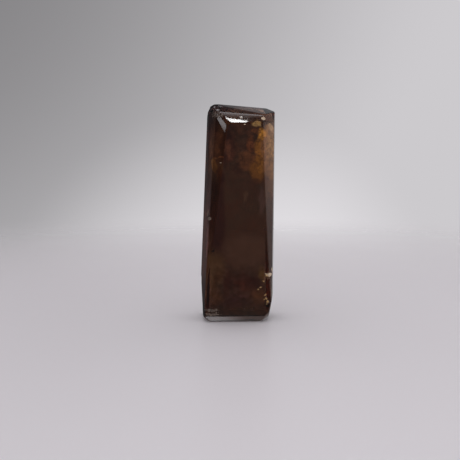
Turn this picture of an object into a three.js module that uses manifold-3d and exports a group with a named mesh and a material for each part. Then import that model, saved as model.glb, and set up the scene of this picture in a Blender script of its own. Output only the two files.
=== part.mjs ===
// A polished crystal of dravite tourmaline: one flattened prism, wider at the foot than at the head,
// with bevelled corners, a sloping head, a flat foot that it stands on, and a few small chips.
import * as THREE from "three";
import { ConvexGeometry } from "three/addons/geometries/ConvexGeometry.js";
import { mergeVertices } from "three/addons/utils/BufferGeometryUtils.js";
import Module from "manifold-3d";

// ---- Driving dimensions: millimetres and degrees ----

const EDGE_RADIUS = 0.3; // what polishing rounds off every edge
const EDGE_STEPS = 3; // flats across one rounded edge
const SMALLEST_STEP = 0.03; // corner points nearer than this to another are left out

// Every polished facet is a plane through the point `at`. Its outward side faces the compass
// bearing `faces` (0 front, 90 right, 180 back, -90 left) and tips up by `tips`.
const FACETS = {
  // The prism. The front bulges a little, so it is three flats.
  frontHigh: { faces: 1, tips: 1.4, at: [0, -3.5, 21] },
  front: { faces: 1, tips: 0.2, at: [0, -3.5, 17] },
  frontLow: { faces: 1, tips: -0.9, at: [0, -3.5, 14] },
  frontLeftBevel: { faces: -42, tips: 5.3, at: [-1.5, -3.34, 28] },
  leftShoulder: { faces: -64, tips: 4.9, at: [-3.46, -1.6, 26] },
  left: { faces: -80, tips: 2.5, at: [-4.34, 1.2, 28] },
  backLeftBevel: { faces: -132, tips: 1.4, at: [-3.8, 3.5, 16] },
  back: { faces: 180, tips: 0.6, at: [0, 3.5, 16] },
  backRightBevel: { faces: 126, tips: 1, at: [4.3, 3.5, 16] },
  right: { faces: 84, tips: -0.3, at: [5.5, -1, 18] },
  frontRightBevel: { faces: 50, tips: 2.2, at: [3.8, -3.36, 27] },
  // The head: three steps back from the front, one slope behind, and the corners.
  headFront: { faces: 1, tips: 42, at: [0, -3.3, 29.05] },
  headMiddle: { faces: 7, tips: 65, at: [0.5, -1.42, 30.8] },
  headTop: { faces: 18, tips: 71, at: [1.25, -1.3, 30.9] },
  headBack: { faces: 180, tips: 50, at: [0.55, 2.3, 31.78] },
  headLeft: { faces: -82, tips: 60, at: [-3.5, 0.3, 32] },
  headLeftLow: { faces: -80, tips: 30, at: [-4, 0.3, 31.5] },
  headLeftCorner: { faces: -15, tips: 27.5, at: [-1.65, -2.81, 29.53] },
  headLeftBlade: { faces: -39, tips: 7.5, at: [-1.98, -2.78, 28.73] },
  headRightCorner: { faces: 46, tips: 30, at: [4.1, -3.35, 28.5] },
  headBackRight: { faces: 132, tips: 38, at: [5, 2.6, 31.2] },
  headBackLeft: { faces: -140, tips: 40, at: [-3.3, 2.5, 31.2] },
  // The foot: a flat end inside a narrow bevel.
  foot: { faces: 0, tips: -90, at: [0, 0, 0] },
  footFront: { faces: 1, tips: -35, at: [-0.3, -3.02, 0.6] },
  footLeft: { faces: -80, tips: -52, at: [-5.08, 0, 0.52] },
  footLeftHigh: { faces: -87, tips: -2.5, at: [-5.16, 0, 2.4] },
  footRight: { faces: 84, tips: -10.5, at: [5.52, 0, 3.2] },
  footRightLow: { faces: 64, tips: -46, at: [5.2, -0.96, 0.69] },
  footRightFront: { faces: 56, tips: -42, at: [4.24, -2.9, 0.86] },
  footBack: { faces: 180, tips: -45, at: [0, 3.5, 1] },
};

// Chips: round scoops that a knock leaves in stone. Each is cut at the point of the surface nearest
// to `near`, looking in from the bearing `faces` and height `tips`, `wide` across and `deep`.
const CHIPS = [
  // The bruised upper left corner.
  { near: [-3.75, 0, 31.5], faces: -62, tips: 44, wide: 1.3, deep: 0.16 },
  { near: [-3.1, -0.3, 31.6], faces: -30, tips: 62, wide: 0.9, deep: 0.06 },
  { near: [-4.05, 0.6, 31], faces: -84, tips: 30, wide: 1.1, deep: 0.09 },
  { near: [-3.3, -1.1, 30.9], faces: -38, tips: 42, wide: 0.8, deep: 0.1 },
  { near: [-2.3, 0.4, 31.8], faces: 0, tips: 70, wide: 1, deep: 0.08 },
  { near: [-2.6, -1.1, 31.2], faces: -10, tips: 58, wide: 0.7, deep: 0.07 },
  { near: [-3.9, 1.6, 31], faces: -110, tips: 40, wide: 0.9, deep: 0.1 },
  // Small knocks on the head, down the front and along its two long edges.
  { near: [4.2, -2.7, 29.8], faces: 25, tips: 38, wide: 0.5, deep: 0.06 },
  { near: [0.64, -2.5, 29.93], faces: 1, tips: 42, wide: 0.3, deep: 0.03 },
  { near: [-2.3, -3.2, 23.4], faces: -30, tips: 0, wide: 0.42, deep: 0.06 },
  { near: [-4, -2.35, 15.5], faces: -55, tips: 8, wide: 0.55, deep: 0.07 },
  { near: [-4.05, -2.35, 15], faces: -60, tips: -8, wide: 0.5, deep: 0.06 },
  { near: [4.75, -3.15, 7.25], faces: 32, tips: 8, wide: 0.85, deep: 0.1 },
  { near: [4.6, -3.25, 6.8], faces: 22, tips: -12, wide: 0.55, deep: 0.06 },
  { near: [5.2, -2.6, 7.85], faces: 62, tips: 6, wide: 0.5, deep: 0.06 },
  { near: [3.5, -3.4, 5.3], faces: 0, tips: 10, wide: 0.36, deep: 0.03 },
  { near: [4.35, -3.4, 3.85], faces: 12, tips: 5, wide: 0.5, deep: 0.05 },
  { near: [4.55, -3.3, 3.15], faces: 22, tips: -10, wide: 0.55, deep: 0.06 },
  // The bruised lower left corner.
  { near: [-4.5, -3.1, 2], faces: -38, tips: -6, wide: 0.6, deep: 0.06 },
  { near: [-3.8, -3.4, 1.95], faces: -8, tips: -4, wide: 0.5, deep: 0.04 },
  { near: [-3, -3.4, 1.9], faces: 2, tips: -6, wide: 0.4, deep: 0.03 },
  { near: [-4.6, -3.2, 1], faces: -44, tips: -24, wide: 0.5, deep: 0.05 },
  // The back and the sides.
  { near: [4.1, 3.4, 13.6], faces: 152, tips: 6, wide: 0.9, deep: 0.09 },
  { near: [4.3, 3.4, 12.9], faces: 146, tips: -10, wide: 0.6, deep: 0.07 },
  { near: [-3.9, 3.5, 10.2], faces: -155, tips: 0, wide: 1, deep: 0.09 },
  { near: [-5.1, 1.4, 5.6], faces: -100, tips: 4, wide: 0.8, deep: 0.07 },
  { near: [1.4, 3.5, 1], faces: 176, tips: -26, wide: 1.1, deep: 0.09 },
  { near: [2.1, 3.4, 0.9], faces: 168, tips: -20, wide: 0.7, deep: 0.06 },
  { near: [2.6, 2.6, 31.2], faces: 165, tips: 60, wide: 0.8, deep: 0.07 },
];
const SCOOP_DETAIL = 6; // how finely the ball that cuts a chip is divided

// ---- Helpers ----

const radians = THREE.MathUtils.degToRad;

function outward(faces, tips) {
  const level = Math.cos(radians(tips));
  return new THREE.Vector3(
    Math.sin(radians(faces)) * level,
    -Math.cos(radians(faces)) * level,
    Math.sin(radians(tips)),
  );
}

// A facet as its outward normal and its distance from the origin along that normal.
function planeOf({ faces, tips, at }) {
  const normal = outward(faces, tips);
  return { normal, distance: normal.dot(new THREE.Vector3(...at)) };
}

// The point that three planes share, or null where two of them are parallel.
function meetingPoint(a, b, c) {
  const bc = b.normal.clone().cross(c.normal);
  const volume = a.normal.dot(bc);
  if (Math.abs(volume) < 1e-6) return null;
  return bc
    .multiplyScalar(a.distance)
    .addScaledVector(c.normal.clone().cross(a.normal), b.distance)
    .addScaledVector(a.normal.clone().cross(b.normal), c.distance)
    .divideScalar(volume);
}

// Every corner of the shape that the planes enclose, with the three planes that meet there.
function cornersOf(planes) {
  const corners = [];
  planes.forEach((a, i) =>
    planes.slice(i + 1).forEach((b, j) =>
      planes.slice(i + j + 2).forEach((c) => {
        const point = meetingPoint(a, b, c);
        if (!point) return;
        const inside = planes.every((p) => p.normal.dot(point) <= p.distance + 1e-6);
        if (inside) corners.push({ point, meeting: [a, b, c] });
      }),
    ),
  );
  return corners;
}

// Points of a small ball at a corner, over the part of it that lies between the three facets.
function cornerBall({ point, meeting: [a, b, c] }) {
  const points = [];
  for (let i = 0; i <= EDGE_STEPS; i++)
    for (let j = 0; j <= EDGE_STEPS - i; j++)
      points.push(
        new THREE.Vector3()
          .addScaledVector(a.normal, i)
          .addScaledVector(b.normal, j)
          .addScaledVector(c.normal, EDGE_STEPS - i - j)
          .setLength(EDGE_RADIUS)
          .add(point),
      );
  return points;
}

// The facets with rounded edges: balls at the corners of a slightly smaller shape, wrapped tightly.
function polishedForm() {
  const inset = Object.values(FACETS)
    .map(planeOf)
    .map(({ normal, distance }) => ({ normal, distance: distance - EDGE_RADIUS }));
  const points = [];
  for (const point of cornersOf(inset).flatMap(cornerBall))
    if (points.every((kept) => kept.distanceTo(point) > SMALLEST_STEP)) points.push(point);
  return new ConvexGeometry(points);
}

// ---- Chips and pits ----

const wasm = await Module();
wasm.setup();

function solidFrom(geometry) {
  const bare = geometry.clone().deleteAttribute("normal").deleteAttribute("uv");
  const merged = mergeVertices(bare);
  return new wasm.Manifold(
    new wasm.Mesh({
      numProp: 3,
      vertProperties: new Float32Array(merged.attributes.position.array),
      triVerts: new Uint32Array(merged.index.array),
    }),
  );
}

function geometryFrom(solid) {
  const { vertProperties, triVerts, numProp } = solid.getMesh();
  const geometry = new THREE.BufferGeometry();
  const stripes = new THREE.InterleavedBuffer(vertProperties, numProp);
  geometry.setAttribute("position", new THREE.InterleavedBufferAttribute(stripes, 3, 0));
  geometry.setIndex(new THREE.BufferAttribute(triVerts, 1));
  return geometry.toNonIndexed();
}

// Where a line through `point` along `direction` leaves the solid between the planes.
function surfacePoint(planes, point, direction) {
  const reach = planes
    .map(({ normal, distance }) => [normal.dot(direction), distance - normal.dot(point)])
    .filter(([slope]) => slope > 1e-3)
    .map(([slope, gap]) => gap / slope);
  return point.clone().addScaledVector(direction, Math.min(...reach));
}

// A ball whose cap, `deep` below the surface, is `wide` across.
function scoop(planes, { near, faces, tips, wide, deep }) {
  const direction = outward(faces, tips);
  const mouth = surfacePoint(planes, new THREE.Vector3(...near), direction);
  const radius = (wide ** 2 / 4 + deep ** 2) / (2 * deep);
  const centre = mouth.addScaledVector(direction, radius - deep);
  return solidFrom(
    new THREE.IcosahedronGeometry(radius, SCOOP_DETAIL).translate(centre.x, centre.y, centre.z),
  );
}

function chippedForm() {
  const planes = Object.values(FACETS).map(planeOf);
  return CHIPS.map((chip) => scoop(planes, chip)).reduce(
    (stone, ball) => stone.subtract(ball),
    solidFrom(polishedForm()),
  );
}

// ---- The crystal ----

// The origin is under the middle of the crystal, on the plane that it stands on.
function standOverOrigin(geometry) {
  geometry.computeBoundingBox();
  const middle = geometry.boundingBox.getCenter(new THREE.Vector3());
  return geometry.translate(-middle.x, -middle.y, 0);
}

const crystal = new THREE.Mesh(
  standOverOrigin(geometryFrom(chippedForm())),
  new THREE.MeshStandardMaterial({ color: 0x4a2c20, roughness: 0.08, metalness: 0 }),
);
crystal.name = "crystal";

const specimen = new THREE.Group();
specimen.add(crystal);
export default specimen;
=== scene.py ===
# %% [markdown]
# # A polished crystal of dravite tourmaline
# Dravite is the brown tourmaline. This one is a flattened prism that was cut and polished by
# hand until it stands on its own foot. The body is a smoky brown glass that lets through only a
# little light, with an amber, iron-stained corner near the head and some bruises along its
# edges. Everything here is in metres, in the same frame as the solid model, with +Z up.

# %% Load the solid model
import math

import bpy
import numpy as np
from mathutils import Euler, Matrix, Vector, noise
from mathutils.bvhtree import BVHTree


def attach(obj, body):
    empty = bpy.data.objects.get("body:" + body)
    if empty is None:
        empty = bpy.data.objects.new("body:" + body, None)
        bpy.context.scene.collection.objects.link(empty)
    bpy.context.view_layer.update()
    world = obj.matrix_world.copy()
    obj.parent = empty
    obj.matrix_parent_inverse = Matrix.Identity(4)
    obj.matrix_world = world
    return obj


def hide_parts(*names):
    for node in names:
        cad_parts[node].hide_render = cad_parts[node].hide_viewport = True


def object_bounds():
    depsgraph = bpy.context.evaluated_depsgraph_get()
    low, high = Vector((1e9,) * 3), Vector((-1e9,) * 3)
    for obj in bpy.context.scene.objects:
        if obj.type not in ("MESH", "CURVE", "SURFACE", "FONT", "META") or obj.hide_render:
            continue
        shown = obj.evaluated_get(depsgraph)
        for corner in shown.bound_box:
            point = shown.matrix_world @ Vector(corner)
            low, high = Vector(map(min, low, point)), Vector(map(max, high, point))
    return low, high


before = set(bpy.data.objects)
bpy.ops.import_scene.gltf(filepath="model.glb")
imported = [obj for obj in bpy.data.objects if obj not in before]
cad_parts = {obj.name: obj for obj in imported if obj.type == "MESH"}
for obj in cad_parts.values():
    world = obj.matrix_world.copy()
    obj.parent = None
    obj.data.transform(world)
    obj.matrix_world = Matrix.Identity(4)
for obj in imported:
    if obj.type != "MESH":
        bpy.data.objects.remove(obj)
cad_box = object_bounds()
MM = 0.001
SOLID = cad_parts["crystal"]
lowest, highest = ([round(v / MM, 2) for v in corner] for corner in cad_box)
print("the solid model reaches from", lowest, "to", highest, "mm")

# %% [markdown]
# ## The camera
# The camera stands a hand's width away, a little above the middle of the crystal, and looks
# slightly down on it. A constraint could aim it at the crystal, but then its view would change
# with the crystal. So it has a fixed place and one plain angle. It comes first, so that every
# later step can be judged in the same view.

# %% Camera
CAMERA_PLACE = (-1.11 * MM, -90.047 * MM, 22.4 * MM)
CAMERA_DIP = 5.7  # degrees below level
SENSOR_WIDTH = 36.0  # mm
FOCAL_LENGTH = 46.957  # mm
NEAREST_SEEN = 5 * MM
FARTHEST_SEEN = 10.0

lens = bpy.data.cameras.new("camera")
lens.lens = FOCAL_LENGTH
lens.sensor_width = SENSOR_WIDTH
lens.clip_start = NEAREST_SEEN
lens.clip_end = FARTHEST_SEEN
camera = bpy.data.objects.new("camera", lens)
camera.location = CAMERA_PLACE
camera.rotation_euler = (math.radians(90 - CAMERA_DIP), 0, 0)
bpy.context.scene.collection.objects.link(camera)
bpy.context.scene.camera = camera
bpy.context.scene.view_settings.view_transform = "Standard"
print("camera", round(Vector(CAMERA_PLACE).length / MM), "mm from the foot of the crystal")

# %% [markdown]
# ## A fine skin over the solid
# The solid model is made of large flat faces with narrow rounded edges. A mirror-like finish
# shows every fault in a mesh, so remeshing it with voxels would put ripples into the polish.
# Instead the skin starts as an even grid on a box. Each point of the grid slides inwards along
# a fixed ray until it lies on a flat face of the solid. Flat faces stay exactly flat that way,
# and the shading direction of a point near an edge is blended from the faces that meet there.

# %% The flat faces of the solid


def values_of(items, name, width):
    """One property of every vertex or polygon, as rows of numbers."""
    flat = np.empty(len(items) * width)
    items.foreach_get(name, flat)
    return flat.reshape(-1, width) if width > 1 else flat


TOUCH = 0.002 * MM  # a face with no corner of the solid further out than this is an outer face
SLIVER = 0.002 * MM**2  # smaller triangles have no dependable direction
SAME_PLACES = 3  # directions that agree to this many decimal places are one

solid_points = values_of(SOLID.data.vertices, "co", 3)
directions = values_of(SOLID.data.polygons, "normal", 3)
offsets = (directions * values_of(SOLID.data.polygons, "center", 3)).sum(1)
overshoot = (directions @ solid_points.T).max(1) - offsets
outer = (overshoot < TOUCH) & (values_of(SOLID.data.polygons, "area", 1) > SLIVER)
directions = np.unique(directions[outer].round(SAME_PLACES), axis=0)
directions /= np.linalg.norm(directions, axis=1, keepdims=True)
offsets = (directions @ solid_points.T).max(1)
print(len(offsets), "outer faces, with those of the rounded edges")

# %% The grid on a box round the solid
GRID_STEPS = (108, 68, 196)  # cells across the width, the depth and the height
MARGIN = 0.1 * MM  # the box stands clear of the solid by this much
CORE = 2.5 * MM  # rays fan out round an inner box that is this much smaller
END_SHARE = 0.34  # how much closer the rows lie at the head and the foot


def lines_along(axis):
    """Where the grid lines lie along one axis. Along the height they crowd towards both ends."""
    low, high = cad_box[0][axis] - MARGIN, cad_box[1][axis] + MARGIN
    share = np.linspace(0, 1, GRID_STEPS[axis] + 1)
    if axis == 2:
        share = share - END_SHARE * np.sin(2 * np.pi * share) / (2 * np.pi)
    return low + (high - low) * share


lattice = np.stack(np.meshgrid(*[np.arange(n + 1) for n in GRID_STEPS], indexing="ij"), axis=-1)
on_skin = ((lattice == 0) | (lattice == np.array(GRID_STEPS))).any(-1)
number = np.full(on_skin.shape, -1)
number[on_skin] = np.arange(on_skin.sum())
cells = lattice[on_skin]
lines = [lines_along(axis) for axis in range(3)]
box_points = np.stack([lines[axis][cells[:, axis]] for axis in range(3)], axis=1)

quads = []
for axis in range(3):
    for side in (0, GRID_STEPS[axis]):
        sheet = np.take(number, side, axis=axis)
        corners = [sheet[:-1, :-1], sheet[1:, :-1], sheet[1:, 1:], sheet[:-1, 1:]]
        if (side == 0) != (axis == 1):
            corners.reverse()
        quads.append(np.stack(corners, axis=-1).reshape(-1, 4))
quads = np.concatenate(quads)
print(len(box_points), "points and", len(quads), "four-sided faces")

# %% Slide the grid onto the solid
EDGE_BLEND = 0.004 * MM  # how far from an edge the shading direction starts to turn
ALONG = 1e-6  # a ray that nears a face more slowly than this runs along it
BATCH = 4000  # rays in one step, to save memory

inner_low = np.array(cad_box[0]) + CORE
inner_high = np.array(cad_box[1]) - CORE
anchors = np.clip(box_points, inner_low, inner_high)
rays = box_points - anchors
rays /= np.linalg.norm(rays, axis=1, keepdims=True)


def slide_to_faces(start, ray):
    """Where each ray leaves the convex form, and the blended outward direction there."""
    speed = ray @ directions.T
    room = offsets - start @ directions.T
    reach = np.where(speed > ALONG, room / np.maximum(speed, ALONG), np.inf).min(1)
    landed = start + ray * reach[:, None]
    gaps = offsets - landed @ directions.T
    blended = np.exp(-gaps / EDGE_BLEND) @ directions
    return landed, blended / np.linalg.norm(blended, axis=1, keepdims=True)


pieces_of_skin = [
    slide_to_faces(anchors[i : i + BATCH], rays[i : i + BATCH])
    for i in range(0, len(rays), BATCH)
]
skin = np.concatenate([p for p, _ in pieces_of_skin])
outward = np.concatenate([d for _, d in pieces_of_skin])
print("skin lies within", (skin.min(0) / MM).round(2), "and", (skin.max(0) / MM).round(2), "mm")

# %% [markdown]
# ## Chips and bruises
# The chips are already in the solid, as plain scoops. The skin finds them by looking straight
# down from its own surface onto the solid: where the solid lies deeper, there is a chip. The
# scoops are then smoothed a little and given the curved ripples of a glassy break. Four places
# on the corners and edges have also been bruised by many tiny knocks, which are too small to
# model one by one. There the skin gets a fine, sharp grain instead, strongest in the middle of
# each bruise.

# %% Find the chips
CHIP_SMOOTHING = 2  # rounds of averaging with the neighbours
LONGEST_LOOK = 2 * MM
CLEARLY_DEEP = 0.01 * MM

solid_tree = BVHTree.FromPolygons(
    solid_points.tolist(), [tuple(p.vertices) for p in SOLID.data.polygons]
)
deep = np.zeros(len(skin))
for i, (point, direction) in enumerate(zip(skin, outward, strict=True)):
    lifted = Vector(point + direction * MARGIN)
    _, _, _, distance = solid_tree.ray_cast(lifted, -Vector(direction), LONGEST_LOOK)
    if distance is not None:
        deep[i] = max(0.0, distance - MARGIN - TOUCH)

borders = np.concatenate([quads[:, [k, (k + 1) % 4]] for k in range(4)])


def spread(values):
    """Each point's value averaged with its neighbours' on the grid."""
    total = np.bincount(borders[:, 0], values[borders[:, 1]], len(values))
    count = np.bincount(borders[:, 0], minlength=len(values))
    return 0.5 * values + 0.5 * total / count


for _ in range(CHIP_SMOOTHING):
    deep = spread(deep)
deepest = round(deep.max() / MM, 2)
print((deep > CLEARLY_DEEP).sum(), "points lie in chips, the deepest at", deepest, "mm")

# %% Carve the chips
CHIP_START = 0.004 * MM  # anything less deep is part of the rounded edge
RIPPLE_SIZE = 0.35 * MM
RIPPLE_SHARE = 0.22  # height of the ripples, as a share of the chip's depth
SEED_STEP = (7.31, 3.17, 5.71)  # how far each seed moves the noise


def noise_at(points, size, seed, octaves=3):
    """Smooth noise between about -1 and 1 at each point. Each octave is twice as fine."""
    shift = Vector([seed * step for step in SEED_STEP])
    return np.array(
        [noise.fractal(Vector(p) / size + shift, 1.0, 2.0, octaves) for p in points.tolist()]
    )


chipped = deep > CHIP_START
ripple = np.zeros(len(skin))
ripple[chipped] = noise_at(skin[chipped], RIPPLE_SIZE, seed=1)
deep = deep * (1 + RIPPLE_SHARE * ripple)
print(chipped.sum(), "points got ripples")

# %% Bruise the corners and edges
GRAIN_SIZE = 0.3 * MM
GRAIN_DEPTH = 0.05 * MM
GRAIN_FILL = 0.15  # above 0, the grains cover more than half of a bruise
FULL_WEAR = 0.05 * MM  # the depth at which the polish is all gone
BRUISES = (  # middle and half-size in mm, share of the full depth
    ((-3.86, -0.8, 31.0), (1.3, 2.2, 1.5), 1.0),
    ((-3.76, -3.4, 1.95), (1.4, 0.5, 0.5), 0.8),
    ((4.29, -3.3, 3.5), (0.5, 0.5, 0.9), 0.6),
    ((4.54, -3.1, 7.1), (0.7, 0.7, 0.7), 0.6),
)


def nearness(points, middle, half_size):
    """1 in the middle of an egg-shaped zone, 0 from its border outwards."""
    away = np.linalg.norm((points / MM - middle) / half_size, axis=1)
    return np.clip(1 - away, 0, 1)


bruised = np.zeros(len(skin))
for middle, half_size, share in BRUISES:
    bruised = np.maximum(bruised, share * np.sqrt(nearness(skin, middle, half_size)))
touched = bruised > 0
grain = np.zeros(len(skin))
grains = noise_at(skin[touched], GRAIN_SIZE, seed=2, octaves=2)
grain[touched] = np.clip(grains + GRAIN_FILL, 0, 1)
deep = deep + GRAIN_DEPTH * bruised * grain
skin = skin - outward * deep[:, None]
worn = np.clip(deep / FULL_WEAR, 0, 1)
print(touched.sum(), "points in the bruises")

# %% Turn the shading with the relief


def turned_by_relief(points, smooth_directions, share):
    """The smooth shading directions, with those of the mesh itself where the share is 1."""
    a, b, c, d = (points[quads[:, k]] for k in range(4))
    across = np.cross(c - a, d - b)
    total = np.zeros_like(points)
    for k in range(4):
        np.add.at(total, quads[:, k], across)
    total /= np.linalg.norm(total, axis=1, keepdims=True)
    mixed = smooth_directions * (1 - share[:, None]) + total * share[:, None]
    return mixed / np.linalg.norm(mixed, axis=1, keepdims=True)


shading = turned_by_relief(skin, outward, np.clip(deep / CLEARLY_DEEP, 0, 1))
# Near a sharp edge, deep points can pass each other on their way inwards. That folds the skin.
folded = (shading * outward).sum(1) < 0
print(folded.sum(), "points face inwards, where the relief folds over itself")

# %% The crystal's mesh


def mesh_object(name, points, faces, directions_of_points=None):
    """A new object from points and faces, with smooth shading."""
    mesh = bpy.data.meshes.new(name)
    mesh.from_pydata(points.tolist(), [], faces.tolist())
    mesh.polygons.foreach_set("use_smooth", [True] * len(mesh.polygons))
    if directions_of_points is not None:
        mesh.normals_split_custom_set_from_vertices(directions_of_points.tolist())
    made = bpy.data.objects.new(name, mesh)
    bpy.context.scene.collection.objects.link(made)
    return made


crystal = mesh_object("polished_crystal", skin, quads, shading)
crystal.data.attributes.new("worn", "FLOAT", "POINT").data.foreach_set("value", worn)
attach(crystal, "root")
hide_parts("crystal")
print(crystal.name, "has", 2 * len(quads), "triangles")

# %% [markdown]
# ## The glass of the crystal
# A real dravite is coloured all through, and the colour comes in zones. A volume that changes
# from place to place would show that, but it is slow and is lost when the model is exported.
# Here the body has one plain absorption, the one of its clearest, amber zone. The smoky zones
# are a tint on the surface, which darkens what goes in and what comes out. They are laid out
# across the width and the height and reach right through the depth, so the front and the back
# agree. In the upper half two such tints, one behind the other, would show as a double image.
# There the front takes the tint of both, and the back is left clear.

# %% Helpers for materials


def new_material(name):
    """A new material and its Principled shader."""
    material = bpy.data.materials.new(name)
    material.use_nodes = True
    return material, material.node_tree.nodes["Principled BSDF"]


def add_node(tree, kind, inputs=(), **settings):
    """A shader node. Each of the inputs is a plain value or another node's output."""
    node = tree.nodes.new("ShaderNode" + kind)
    for setting, value in settings.items():
        setattr(node, setting, value)
    for name, value in dict(inputs).items():
        if isinstance(value, bpy.types.NodeSocket):
            tree.links.new(value, node.inputs[name])
        else:
            node.inputs[name].default_value = value
    return node


# %% Places and noise


def place_in_crystal(tree):
    """The place of a point in the frame of the crystal, in millimetres."""
    coordinates = add_node(tree, "TexCoord").outputs["Object"]
    scale = add_node(tree, "VectorMath", {0: coordinates, "Scale": 1 / MM}, operation="SCALE")
    return scale.outputs[0]


NODE_SEED_STEP = (13.7, 5.3, 9.1)  # mm, how far each seed moves the noise of a material


def noise_node(tree, place, size, seed, detail=3.0, rough=0.5):
    """Smooth noise with lumps of this size in millimetres. It has a Fac and a Color output."""
    shift = tuple(seed * step for step in NODE_SEED_STEP)
    shifted = add_node(tree, "VectorMath", {0: place, 1: shift})
    return add_node(
        tree,
        "TexNoise",
        {"Vector": shifted.outputs[0], "Scale": 1 / size, "Detail": detail, "Roughness": rough},
    )


# %% Changes and mixtures


def ramp(tree, value, low, high, start=0.0, end=1.0):
    """Start below low, end above high, and a soft change between them."""
    inputs = {"Value": value, "From Min": low, "From Max": high, "To Min": start, "To Max": end}
    return add_node(tree, "MapRange", inputs, interpolation_type="SMOOTHSTEP").outputs["Result"]


def maths(tree, operation, a, b=0.0):
    """One step of arithmetic on two values."""
    return add_node(tree, "Math", {0: a, 1: b}, operation=operation).outputs[0]


def mix_colours(tree, share, first, second):
    """The first colour where the share is 0, and the second where it is 1."""
    node = add_node(tree, "Mix", data_type="RGBA")
    sockets = [s for s in node.inputs if s.enabled]
    for socket, value in zip(sockets, (share, first, second), strict=True):
        if isinstance(value, bpy.types.NodeSocket):
            tree.links.new(value, socket)
        else:
            socket.default_value = (*value, 1) if isinstance(value, tuple) else value
    return next(s for s in node.outputs if s.enabled)


# %% A zone with a soft border


def patch(tree, place, centre, radii, soft=0.35):
    """1 inside an egg-shaped zone, 0 outside it, with a soft border."""
    from_centre = add_node(tree, "VectorMath", {0: place, 1: centre}, operation="SUBTRACT")
    offset = from_centre.outputs[0]
    scaled = add_node(tree, "VectorMath", {0: offset, 1: radii}, operation="DIVIDE")
    length = add_node(tree, "VectorMath", {0: scaled.outputs[0]}, operation="LENGTH")
    return ramp(tree, length.outputs["Value"], 1 - soft, 1 + soft, 1.0, 0.0)


# %% The clear glass
TOURMALINE_IOR = 1.63
ABSORPTION = (90.0, 200.0, 400.0)  # per metre, for red, green and blue
DEPTH = 0.0071  # metres from the front to the back
BEHIND = 0.62  # how bright the room is behind the crystal

clear = [BEHIND * math.exp(-a * DEPTH) for a in ABSORPTION]
print("the clear glass shows as", [round(c, 3) for c in clear])


def shade(*screen):
    """The tint that gives this colour, in steps of 0 to 255, with light from behind.

    The numbers are those of the sRGB curve, which every screen follows.
    """
    linear = [((v / 255 + 0.055) / 1.055) ** 2.4 if v > 10 else v / 3295 for v in screen]
    return tuple(min(1.0, value / most) for value, most in zip(linear, clear, strict=True))


# %% Colour zones
SMOKE = shade(43, 26, 16)
RED_SMOKE = shade(47, 23, 12)
VEIN = shade(40, 19, 10)
ZONE_BORDER = 0.28  # softness, as a share of the half-size
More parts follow.
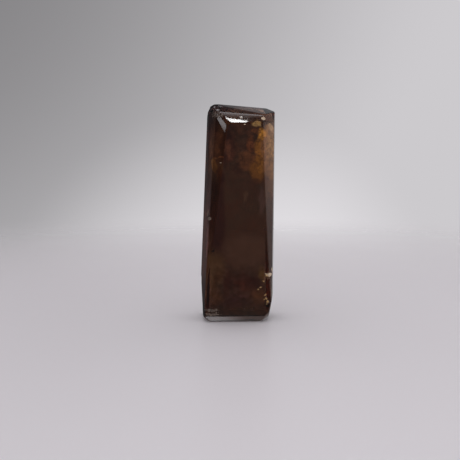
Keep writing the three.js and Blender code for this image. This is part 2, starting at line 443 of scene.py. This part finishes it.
# A half-size of 9 mm in depth reaches right through the crystal.
ZONES = (  # centre and half-size in mm, colour, strength
    # The left side and the head.
    ((-2.6, 0, 26.5), (2.2, 9, 4.0), shade(30, 7, 3), 0.9),
    ((-1.3, 0, 25.3), (0.8, 9, 1.7), shade(56, 27, 16), 0.7),
    ((-1.4, 0, 25.5), (0.45, 9, 1.4), shade(76, 42, 26), 0.75),
    ((-2.6, 0, 27.6), (0.7, 9, 0.35), shade(52, 20, 10), 0.6),
    ((-3.0, 0, 25.6), (0.3, 9, 0.7), shade(58, 24, 12), 0.6),
    ((-4.0, 0, 26.5), (0.35, 9, 2.6), shade(66, 31, 18), 0.7),
    ((-3.3, 0, 22.9), (0.4, 9, 1.0), shade(92, 50, 16), 0.85),
    ((-3.1, 0, 24.1), (0.3, 9, 0.16), shade(92, 46, 24), 0.8),
    ((-2.5, 0, 24.3), (0.25, 9, 0.12), shade(86, 42, 24), 0.8),
    ((-2.9, 0, 14.5), (1.1, 9, 8.5), shade(32, 7, 4), 0.8),
    ((-5.3, 0, 12.0), (1.0, 9, 14.0), shade(78, 42, 32), 0.9),
    ((-2.5, 0, 21.6), (0.6, 9, 1.1), shade(30, 5, 2), 0.8),
    ((0.0, 0, 22.5), (0.8, 9, 1.0), shade(38, 16, 9), 0.6),
    ((0.2, 0, 31.5), (3.4, 9, 1.1), shade(28, 12, 7), 0.9),
    # The amber corner.
    ((1.3, 0, 23.8), (1.2, 9, 1.6), shade(66, 36, 18), 0.9),
    ((2.9, 0, 22.6), (1.0, 9, 1.9), shade(77, 44, 14), 0.9),
    ((3.1, 0, 24.8), (0.7, 9, 2.0), shade(98, 58, 20), 0.9),
    ((3.3, 0, 22.9), (0.45, 9, 1.1), shade(100, 60, 20), 0.8),
    ((4.6, 0, 24.8), (1.2, 9, 3.3), shade(95, 62, 31), 0.95),
    ((4.7, 0, 28.1), (0.8, 9, 1.0), shade(90, 60, 36), 0.9),
    ((2.7, 0, 29.0), (0.6, 9, 0.4), shade(122, 92, 68), 0.9),
    ((3.35, 0, 27.6), (0.6, 9, 0.95), shade(129, 82, 27), 0.95),
    ((4.8, 0.8, 31.0), (1.2, 2.5, 0.9), shade(110, 72, 53), 0.9),
    ((4.35, 0, 30.15), (0.8, 9, 0.6), shade(54, 30, 20), 0.9),
    ((4.7, 0, 28.7), (0.6, 9, 0.6), shade(112, 82, 54), 0.75),
    ((4.0, 0, 28.5), (0.4, 9, 0.7), shade(104, 68, 38), 0.8),
    ((3.8, 0, 24.8), (0.4, 9, 2.8), shade(88, 54, 30), 0.7),
    ((4.6, 0, 22.6), (0.9, 9, 1.6), shade(72, 43, 22), 0.75),
    ((2.5, 0, 20.9), (0.6, 9, 0.6), shade(46, 22, 12), 0.6),
    ((1.9, 0, 26.1), (0.7, 9, 1.1), shade(76, 38, 17), 0.7),
    ((2.5, 0, 27.9), (0.4, 9, 0.5), shade(76, 40, 18), 0.6),
    # The lower half, down to the foot.
    ((-4.4, 0, 5.0), (0.5, 9, 2.4), shade(68, 44, 28), 0.8),
    ((-4.4, 0, 2.4), (0.5, 9, 0.9), shade(68, 44, 32), 0.6),
    ((1.2, 0, 18.6), (0.35, 9, 0.9), shade(62, 42, 28), 0.6),
    ((3.6, 0, 18.0), (0.5, 9, 2.4), shade(60, 40, 33), 0.7),
    ((1.3, 0, 10.4), (3.8, 9, 2.6), shade(58, 36, 24), 0.85),
    ((-3.4, 0, 7.6), (1.6, 9, 3.0), shade(62, 40, 20), 0.8),
    ((0.9, 0, 5.7), (2.3, 9, 0.9), shade(44, 15, 6), 0.9),
    ((-2.8, 0, 6.6), (0.9, 9, 0.6), shade(46, 22, 7), 0.7),
    ((-3.4, 0, 5.7), (0.6, 9, 0.7), shade(44, 21, 7), 0.6),
    ((-1.5, 0, 5.5), (0.55, 9, 1.5), shade(38, 12, 5), 0.85),
    ((0.6, 0, 4.4), (1.3, 9, 0.5), shade(60, 31, 20), 0.7),
    ((2.4, 0, 5.6), (0.8, 9, 0.45), shade(34, 8, 4), 0.8),
    ((3.9, 0, 6.9), (0.9, 9, 1.0), shade(68, 44, 18), 0.8),
    ((4.6, 0, 5.8), (0.6, 9, 2.7), shade(86, 60, 43), 0.75),
    ((3.3, 0, 3.6), (1.2, 9, 0.9), shade(66, 37, 16), 0.8),
    ((-0.4, 0, 3.0), (2.1, 9, 0.7), shade(40, 18, 15), 0.75),
    ((-3.3, 0, 3.6), (1.2, 9, 1.0), shade(58, 32, 14), 0.7),
)


# %% Lay the zones over each other
TURNS_RED_AT = (0.35, 0.7)  # noise at which the smoke starts to turn red, and is red


def bend(tree, place, size, seed, reach):
    """The place, shifted a little this way and that, so that zones get ragged borders."""
    wander = noise_node(tree, place, size, seed).outputs["Color"]
    centred = add_node(tree, "VectorMath", {0: wander, 1: (0.5, 0.5, 0.5)}, operation="SUBTRACT")
    inputs = {0: centred.outputs[0], 1: (2 * reach, 2 * reach, 2 * reach), 2: place}
    return add_node(tree, "VectorMath", inputs, operation="MULTIPLY_ADD").outputs[0]


def zone_tint(tree, place):
    """The tint of the crystal at a place: smoky, with the zones laid over it in turn."""
    bent = bend(tree, place, size=1.8, seed=1, reach=0.8)
    bent = bend(tree, bent, size=0.7, seed=3, reach=0.22)
    cloud = noise_node(tree, place, size=2.4, seed=2, detail=5.0, rough=0.6).outputs["Fac"]
    tint = mix_colours(tree, ramp(tree, cloud, *TURNS_RED_AT), SMOKE, RED_SMOKE)
    for centre, radii, colour, strength in ZONES:
        inside = patch(tree, bent, centre, radii, soft=ZONE_BORDER)
        share = maths(tree, "MULTIPLY", inside, strength)
        tint = mix_colours(tree, share, tint, colour)
    return tint


# %% Dark threads
THREAD_WIDTH = 0.035  # how far from the middle of the noise a thread ends
THREADS_AT = ((1.6, 0, 26.0), (4.8, 9, 4.5))  # middle and half-size in mm


def veins(tree, place):
    """Dark wandering threads in the upper half: 1 on a thread, 0 off it."""
    bent = bend(tree, place, size=0.8, seed=8, reach=0.4)
    wave = noise_node(tree, bent, size=1.5, seed=9, detail=2.0).outputs["Fac"]
    off = maths(tree, "ABSOLUTE", maths(tree, "SUBTRACT", wave, 0.5))
    thread = ramp(tree, off, 0.0, THREAD_WIDTH, 1.0, 0.0)
    return maths(tree, "MULTIPLY", thread, patch(tree, place, *THREADS_AT))


# %% The zones and the threads together
VEIN_STRENGTH = 0.55

crystal_glass, shader = new_material("smoky_brown_tourmaline")
tree = crystal_glass.node_tree
place = place_in_crystal(tree)
vein_share = maths(tree, "MULTIPLY", veins(tree, place), VEIN_STRENGTH)
through = mix_colours(tree, vein_share, zone_tint(tree, place), VEIN)
print(len(ZONES), "colour zones")

# %% The mottle, which is strong near the head and the foot and faint between them
MOTTLE_SIZE = 0.8  # mm
MOTTLE_STRENGTH = 0.3
MOTTLE_FROM, MOTTLE_TO = 0.3, 0.7  # noise where it is darkest and lightest
HEAD_MOTTLE = (19.0, 24.0)  # mm, where it begins and where it is full
FOOT_MOTTLE = (6.5, 9.5)  # mm, where it is full and where it ends
FAINT_SHARE = 0.2

mottle = noise_node(tree, place, MOTTLE_SIZE, seed=4, detail=4.0, rough=0.55).outputs["Fac"]
height = add_node(tree, "SeparateXYZ", {0: place}).outputs["Z"]
upper = ramp(tree, height, *HEAD_MOTTLE, FAINT_SHARE, 1.0)
lower = ramp(tree, height, *FOOT_MOTTLE, 1.0, 0.0)
reach = maths(tree, "ADD", upper, lower)
lighter = ramp(tree, mottle, MOTTLE_FROM, MOTTLE_TO, MOTTLE_STRENGTH, -MOTTLE_STRENGTH)
uneven = maths(tree, "MULTIPLY", lighter, reach)
uneven = maths(tree, "ADD", uneven, 1.0)
scaled = add_node(tree, "VectorMath", {0: through, "Scale": uneven}, operation="SCALE")
through = scaled.outputs[0]

# %% The clear back behind the upper half
CLEAR_BACK = ((2.0, 0, 25.0), (4.0, 9, 6.0))  # middle and half-size in mm
CLEAR_BORDER = 0.3
MIDDLE_DEPTH = 1.2  # mm, how far in front of and behind the middle the change runs

seen_flat = add_node(tree, "VectorMath", {0: place, 1: (1, 0, 1)}, operation="MULTIPLY")
clear_back = patch(tree, seen_flat.outputs[0], *CLEAR_BACK, soft=CLEAR_BORDER)
depth = add_node(tree, "SeparateXYZ", {0: place}).outputs["Y"]
towards_front = ramp(tree, depth, -MIDDLE_DEPTH, MIDDLE_DEPTH, 1.0, -1.0)
power = maths(tree, "ADD", maths(tree, "MULTIPLY", clear_back, towards_front), 1.0)
tint = add_node(tree, "Gamma", {"Color": through, "Gamma": power}).outputs[0]
tree.links.new(tint, shader.inputs["Base Color"])

# %% The polish
BEST_POLISH, WORST_POLISH = 0.015, 0.05  # roughness
SMEAR_FROM, SMEAR_TO = 0.3, 0.8  # noise at which the polish is best and worst
WORN_ROUGHNESS = 0.25
WAVE_HEIGHT = 0.0007 * MM

worn_here = add_node(tree, "Attribute", attribute_name="worn").outputs["Fac"]
smear = noise_node(tree, place, size=1.5, seed=5, detail=4.0).outputs["Fac"]
polish = ramp(tree, smear, SMEAR_FROM, SMEAR_TO, BEST_POLISH, WORST_POLISH)
rough = maths(tree, "ADD", polish, maths(tree, "MULTIPLY", worn_here, WORN_ROUGHNESS))
tree.links.new(rough, shader.inputs["Roughness"])
wave = noise_node(tree, place, size=2.2, seed=6, detail=1.0).outputs["Fac"]
relief = add_node(tree, "Bump", {"Height": wave, "Strength": 1.0, "Distance": WAVE_HEIGHT})
tree.links.new(relief.outputs["Normal"], shader.inputs["Normal"])

# %% The see-through body and its absorption
shader.inputs["IOR"].default_value = TOURMALINE_IOR
shader.inputs["Transmission Weight"].default_value = 1.0
strongest = max(ABSORPTION)
absorb = add_node(
    tree,
    "VolumeAbsorption",
    {"Color": (*[1 - a / strongest for a in ABSORPTION], 1), "Density": strongest},
)
tree.links.new(absorb.outputs["Volume"], tree.nodes["Material Output"].inputs["Volume"])
crystal.data.materials.append(crystal_glass)
print(crystal_glass.name, "has", len(tree.nodes), "nodes")

# %% [markdown]
# ## Dust in the chips, and painted glints
# A fresh break in tourmaline is frosted and holds pale dust from the polishing wheel. Frost
# could be a rougher patch of the crystal's own finish, but then it would stay see-through and
# dark. Dust is opaque, so each deposit is a thin crust of its own that follows the skin. The
# faces of the skin under it are first split into small ones, so that its border is not stepped.
# The small faces in an uneven patch become the crust, with a top, an underside and a rim.
# Three small pale spots of the same crust on the head are painted glints, which stand in for
# highlights.

# %% Split the skin more finely
SPLIT = 4  # each face of the skin becomes this many by this many small ones
WELD = 1e-9  # corners nearer than this are one

middles = skin[quads].mean(1)


def finer_skin(chosen):
    """The points, shading directions and small faces that these faces of the skin split into."""
    share = np.arange(SPLIT + 1) / SPLIT
    u, v = np.meshgrid(share, share, indexing="ij")
    weights = np.stack([(1 - u) * (1 - v), u * (1 - v), u * v, (1 - u) * v])
    points = np.einsum("fkc,kij->fijc", skin[quads[chosen]], weights).reshape(-1, 3)
    turned = np.einsum("fkc,kij->fijc", shading[quads[chosen]], weights).reshape(-1, 3)
    index = np.arange(len(points)).reshape(len(chosen), SPLIT + 1, SPLIT + 1)
    corners = [index[:, :-1, :-1], index[:, 1:, :-1], index[:, 1:, 1:], index[:, :-1, 1:]]
    grid = np.round(points / WELD).astype(np.int64)
    _, first, same = np.unique(grid, axis=0, return_index=True, return_inverse=True)
    faces = same.reshape(-1)[np.stack(corners, axis=-1).reshape(-1, 4)]
    return points[first], turned[first], faces


# %% Lay a crust
CRUST = 0.007 * MM  # half the thickness in the middle of a deposit
THIN = 0.3  # how thick the border is, as a share of the middle
REACH = 0.2  # mm, how much further out the skin is split than a deposit reaches
FALL_OFF = 0.7  # under 1, a deposit stays full until near its border
UNEVENNESS = 0.8


def crust(name, deposits, first_seed, grain_size=0.25):
    """A closed thin crust of several uneven deposits. A fill of 1 leaves no holes."""
    nearby = [nearness(middles, middle, np.add(half, REACH)) > 0 for middle, half, _ in deposits]
    points, turned, faces = finer_skin(np.flatnonzero(np.any(nearby, axis=0)))
    amount = np.full(len(points), -1.0)
    for seed, (middle, half_size, fill) in enumerate(deposits, first_seed):
        near = nearness(points, middle, half_size)
        found = np.flatnonzero(near > 0)
        uneven = noise_at(points[found], grain_size * MM, seed)
        laid = near[found] ** FALL_OFF + UNEVENNESS * uneven + fill - 1
        amount[found] = np.maximum(amount[found], laid)
    faces = faces[amount[faces].mean(1) > 0]
    used, local = np.unique(faces, return_inverse=True)
    local = local.reshape(-1, 4)
    lift = turned[used] * (CRUST * np.clip(THIN + amount[used], THIN, 1))[:, None]
    rounded = np.concatenate([points[used] + lift, points[used] - lift])
    sides = np.concatenate([np.stack([local[:, k], local[:, (k + 1) % 4]], 1) for k in range(4)])
    there = {tuple(side) for side in sides.tolist()}
    rim = [(b, a, a + len(used), b + len(used)) for a, b in there if (b, a) not in there]
    under = local[:, ::-1] + len(used)
    made = mesh_object(name, rounded, np.concatenate([local, under, np.array(rim)]))
    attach(made, "root")
    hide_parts("crystal")
    print(name, "has", len(faces), "faces on top")
    return made


# %% A finish for a crust


def lumpy_paint(name, dark, light, lump_size, seed, turns_at, roughness):
    """An opaque finish that goes from dark to light in small lumps."""
    paint, paint_shader = new_material(name)
    tree = paint.node_tree
    lumps = noise_node(tree, place_in_crystal(tree), lump_size, seed).outputs["Fac"]
    colour = mix_colours(tree, ramp(tree, lumps, *turns_at), dark, light)
    tree.links.new(colour, paint_shader.inputs["Base Color"])
    paint_shader.inputs["Roughness"].default_value = roughness
    return paint


# %% Pale dust, and painted glints on the head
DARK_CREAM = (0.37, 0.27, 0.175)
LIGHT_CREAM = (0.70, 0.565, 0.42)
DUST_AND_GLINTS = (  # middle and half-size in mm, fill
    ((4.64, -3.15, 7.15), (0.4, 0.5, 0.34), 0.85),
    ((5.09, -2.7, 7.75), (0.25, 0.5, 0.5), 0.6),
    ((4.14, -3.4, 7.2), (0.3, 0.3, 0.3), 0.35),
    ((-2.46, -3.2, 23.44), (0.16, 0.3, 0.06), 0.8),
    # Painted glints: the next three pale spots on the head stand in for highlights, not for
    # dust.
    ((0.47, -2.54, 29.93), (0.12, 0.3, 0.1), 0.8),
    ((3.76, -2.72, 29.83), (0.4, 0.6, 0.3), 1.0),
    ((0.99, -3.4, 28.9), (0.16, 0.3, 0.1), 0.7),
    ((-3.96, 3.5, 10.2), (0.5, 0.5, 0.4), 0.5),
)
# One crust holds the pale dust in the chips and the painted glints on the head.
pale_dust_and_glints = crust("pale_dust_and_glints", DUST_AND_GLINTS, first_seed=11)
cream_dust_and_glints = lumpy_paint(
    "cream_dust_and_glints",
    DARK_CREAM,
    LIGHT_CREAM,
    lump_size=0.12,
    seed=21,
    turns_at=(0.3, 0.7),
    roughness=0.7,
)
pale_dust_and_glints.data.materials.append(cream_dust_and_glints)

# %% [markdown]
# ## Golden flakes
# Thin flakes of iron stain sit in the small pits near the foot and shine like gold. Spots
# painted on the crystal's finish would show twice, once on the front and once through the back.
# So they are crusts too, smaller and more broken than the dust, and a little smoother, which
# gives the shine.

# %% Golden flakes
DARK_GOLD = (0.15, 0.08, 0.03)
LIGHT_GOLD = (0.66, 0.42, 0.18)
FLAKES = (  # middle and half-size in mm, fill
    ((4.09, -3.4, 4.1), (0.22, 0.3, 0.3), 0.5),
    ((4.24, -3.4, 3.65), (0.25, 0.3, 0.35), 0.55),
    ((4.44, -3.3, 3.15), (0.22, 0.4, 0.3), 0.6),
    ((3.94, -3.4, 3.5), (0.16, 0.3, 0.3), 0.4),
    ((4.29, -3.4, 2.8), (0.12, 0.3, 0.2), 0.5),
    ((3.39, -3.4, 5.3), (0.26, 0.3, 0.1), 0.65),
    ((3.04, -3.4, 5.0), (0.3, 0.3, 0.08), 0.45),
    ((3.84, -3.4, 6.2), (0.3, 0.3, 0.3), 0.25),
    ((4.24, -3.35, 7.1), (0.25, 0.3, 0.35), 0.5),
)
gold_flakes = crust("gold_flakes", FLAKES, first_seed=31, grain_size=0.15)
iron_gold = lumpy_paint(
    "iron_gold",
    DARK_GOLD,
    LIGHT_GOLD,
    lump_size=0.1,
    seed=22,
    turns_at=(0.35, 0.65),
    roughness=0.45,
)
gold_flakes.data.materials.append(iron_gold)

# %% [markdown]
# ## Grinding marks
# At the foot, at a nick in the left edge and beside the head the last polish is missing, and
# the stone shows the dull grey brown that a grinding wheel leaves. A rough glass would do, but
# it lets the dark inside show and looks wet. A thin dull crust with many holes looks like dry,
# scuffed stone.

# %% Grinding marks
DARK_SCUFF = (0.05, 0.034, 0.026)
LIGHT_SCUFF = (0.17, 0.125, 0.095)
GROUND = (  # middle and half-size in mm, fill
    ((-3.76, -3.4, 1.9), (1.3, 0.4, 0.28), 0.6),
    ((-3.26, -3.4, 1.55), (0.9, 0.4, 0.1), 0.4),
    ((-3.8, -3.35, 1.25), (1.5, 0.4, 0.25), 0.6),
    ((-4.02, -2.5, 15.35), (0.36, 0.6, 0.32), 1.2),
    ((-4.36, -2.0, 16.1), (0.13, 0.5, 0.5), 0.8),
    ((-3.36, -1.6, 30.6), (1.0, 1.8, 0.9), 0.3),
    ((-2.66, -2.2, 30.2), (0.8, 0.9, 0.5), 0.35),
)
grinding_marks = crust("grinding_marks", GROUND, first_seed=51, grain_size=0.18)
ground_stone = lumpy_paint(
    "ground_stone",
    DARK_SCUFF,
    LIGHT_SCUFF,
    lump_size=0.2,
    seed=23,
    turns_at=(0.3, 0.7),
    roughness=0.5,
)
grinding_marks.data.materials.append(ground_stone)

# %% [markdown]
# ## Floor
# The crystal stands on a plain pale ground. A large plane would do, but its far edge would
# cross the view. So the floor is a disc that fades out towards its rim, and no edge shows from
# any side. The polished faces don't mirror it, because the studio below gives each of them its
# own tone.

# %% Floor
FLOOR_RADIUS = 0.25  # metres
FLOOR_SIDES = 96
FLOOR_PLAIN = 0.03  # how far from the middle it starts to fade
FLOOR_GONE = 0.2  # how far from the middle it is gone
FLOOR_COLOUR = (0.80, 0.775, 0.795, 1)
FLOOR_ROUGHNESS = 0.35

turn = np.linspace(0, 2 * np.pi, FLOOR_SIDES + 1)[:-1]
rim = np.stack([FLOOR_RADIUS * np.cos(turn), FLOOR_RADIUS * np.sin(turn), 0 * turn], axis=1)
floor = mesh_object("floor", rim, np.arange(FLOOR_SIDES).reshape(1, -1))
floor.visible_glossy = False

floor_paint, floor_shader = new_material("pale_floor")
tree = floor_paint.node_tree
floor_shader.inputs["Base Color"].default_value = FLOOR_COLOUR
floor_shader.inputs["Roughness"].default_value = FLOOR_ROUGHNESS
place = add_node(tree, "TexCoord").outputs["Object"]
away = add_node(tree, "VectorMath", {0: place}, operation="LENGTH").outputs["Value"]
faded = ramp(tree, away, FLOOR_PLAIN, FLOOR_GONE, 1.0, 0.0)
tree.links.new(faded, floor_shader.inputs["Alpha"])
floor.data.materials.append(floor_paint)
print("the floor is", 2 * FLOOR_RADIUS, "m wide")

# %% [markdown]
# ## The studio
# A polished crystal shows the room round it more than itself. Cards and lamps round it would
# give each face its tone, but on so small a crystal each of them would have to stand in an
# exact place. A sky of soft lobes of light is easier: each lobe only has a direction, a width
# and a colour. The polish, the see-through glass and the camera each get a sky of their own, so
# that one can be changed without the others. Only the sharp highlight under the head needs a
# lamp: one small soft box, straight above.

# %% Helpers for the studio


def lobe(tree, towards, low, high, colour):
    """Light that grows from nothing to colour as a direction turns towards the given one."""
    ray = add_node(tree, "TexCoord").outputs["Generated"]
    towards = Vector(towards).normalized()
    turned = add_node(tree, "VectorMath", {0: ray, 1: towards}, operation="DOT_PRODUCT")
    grown = ramp(tree, turned.outputs["Value"], low, high)
    scaled = add_node(tree, "VectorMath", {0: colour, "Scale": grown}, operation="SCALE")
    return scaled.outputs[0]


def room_light(tree, everywhere, lobes):
    """A base colour with some lobes of light added to it."""
    total = everywhere
    for towards, low, high, colour in lobes:
        added = lobe(tree, towards, low, high, colour)
        total = add_node(tree, "VectorMath", {0: total, 1: added}, operation="ADD").outputs[0]
    return total


def grey(value):
    """A faintly lilac grey."""
    return (value, value * 0.975, value * 1.01)


# %% The sky that the polish mirrors
BETWEEN_LOBES = grey(0.05)
MIRRORED = (  # direction, cosines at which the lobe starts and is full, colour
    ((0.45, 1.0, 0.05), 0.74, 0.90, grey(0.26)),  # behind, to the right
    ((1.0, 0.15, 0.0), 0.55, 0.95, grey(0.36)),  # the bright wall at the right
    ((-0.76, 0.64, -0.20), 0.95, 0.995, (0.19, 0.132, 0.15)),  # behind, to the left
    ((0.0, -1.0, -0.1), 0.80, 0.95, grey(0.05)),  # in front
    ((0.0, -0.45, -0.9), 0.72, 0.92, grey(0.22)),  # the ground in front
    ((0.0, 0.25, -1.0), 0.70, 0.95, grey(0.20)),  # the ground below
    ((-0.10, -0.10, -0.99), 0.989, 0.9965, grey(1.6)),  # a bright spot of it, for the foot
    ((-0.940, -0.159, 0.301), 0.9987, 0.9996, grey(2.2)),  # the silvery face left of the head
    ((-0.309, 0.945, -0.108), 0.9968, 0.9993, (0.042, 0.018, 0.013)),  # low, behind, brown
    ((0.34, 0.27, 0.90), 0.985, 0.997, grey(9.0)),  # a far window, high at the right
    ((0.035, 0.30, 0.95), 0.9475, 0.9510, grey(1.7)),  # the ceiling, for the top of the head
)

world = bpy.data.worlds.new("studio")
bpy.context.scene.world = world
world.use_nodes = True
tree = world.node_tree
mirrored = room_light(tree, BETWEEN_LOBES, MIRRORED)
print(len(MIRRORED), "lobes in the polish")

# %% The sky behind the glass, and the backdrop
BEHIND_THE_GLASS = (  # lighter behind the left, darker behind the right
    ((-0.75, 0.66, 0.0), 0.75, 0.97, grey(0.35)),
    ((0.70, 0.71, 0.0), 0.75, 0.97, grey(-0.35)),
)
BACKDROP_TONE = grey(0.605)
BACKDROP = (  # darker towards the upper left, lighter low in the middle
    ((-0.6, 0.75, 0.485), 0.545, 1.04, grey(-0.405)),
    ((-0.01, 1.0, -0.265), 0.93, 1.0, grey(0.18)),
)

let_through = room_light(tree, grey(BEHIND), BEHIND_THE_GLASS)
backdrop = room_light(tree, BACKDROP_TONE, BACKDROP)
print(len(BEHIND_THE_GLASS), "lobes behind the glass and", len(BACKDROP), "in the backdrop")

# %% Each kind of ray gets its sky
SOFT_LIGHT = grey(0.80)  # what falls on the dull surfaces

ray_kind = add_node(tree, "LightPath").outputs
light = mix_colours(tree, ray_kind["Is Glossy Ray"], SOFT_LIGHT, mirrored)
light = mix_colours(tree, ray_kind["Is Transmission Ray"], light, let_through)
light = mix_colours(tree, ray_kind["Is Camera Ray"], light, backdrop)
tree.links.new(light, tree.nodes["Background"].inputs["Color"])
print("the sky has", len(tree.nodes), "nodes")

# %% Soft box
BOX_CORNER = (8.44 * MM, -6.65 * MM, 180 * MM)  # its back right corner
BOX_SIZE = (9.05 * MM, 9 * MM)
BOX_TURN = math.radians(-7.7)
BOX_BRIGHTNESS = 15.0  # how much brighter than white it looks

area = bpy.data.lights.new("soft_box", "AREA")
area.shape = "RECTANGLE"
area.size, area.size_y = BOX_SIZE
area.energy = BOX_BRIGHTNESS * math.pi * BOX_SIZE[0] * BOX_SIZE[1]
soft_box = bpy.data.objects.new("soft_box", area)
to_middle = Vector((-BOX_SIZE[0] / 2, -BOX_SIZE[1] / 2, 0))
to_middle.rotate(Euler((0, 0, BOX_TURN)))
soft_box.location = Vector(BOX_CORNER) + to_middle
soft_box.rotation_euler = (0, 0, BOX_TURN)
soft_box.visible_transmission = False
bpy.context.scene.collection.objects.link(soft_box)
print("soft box of", round(area.energy, 4), "W")
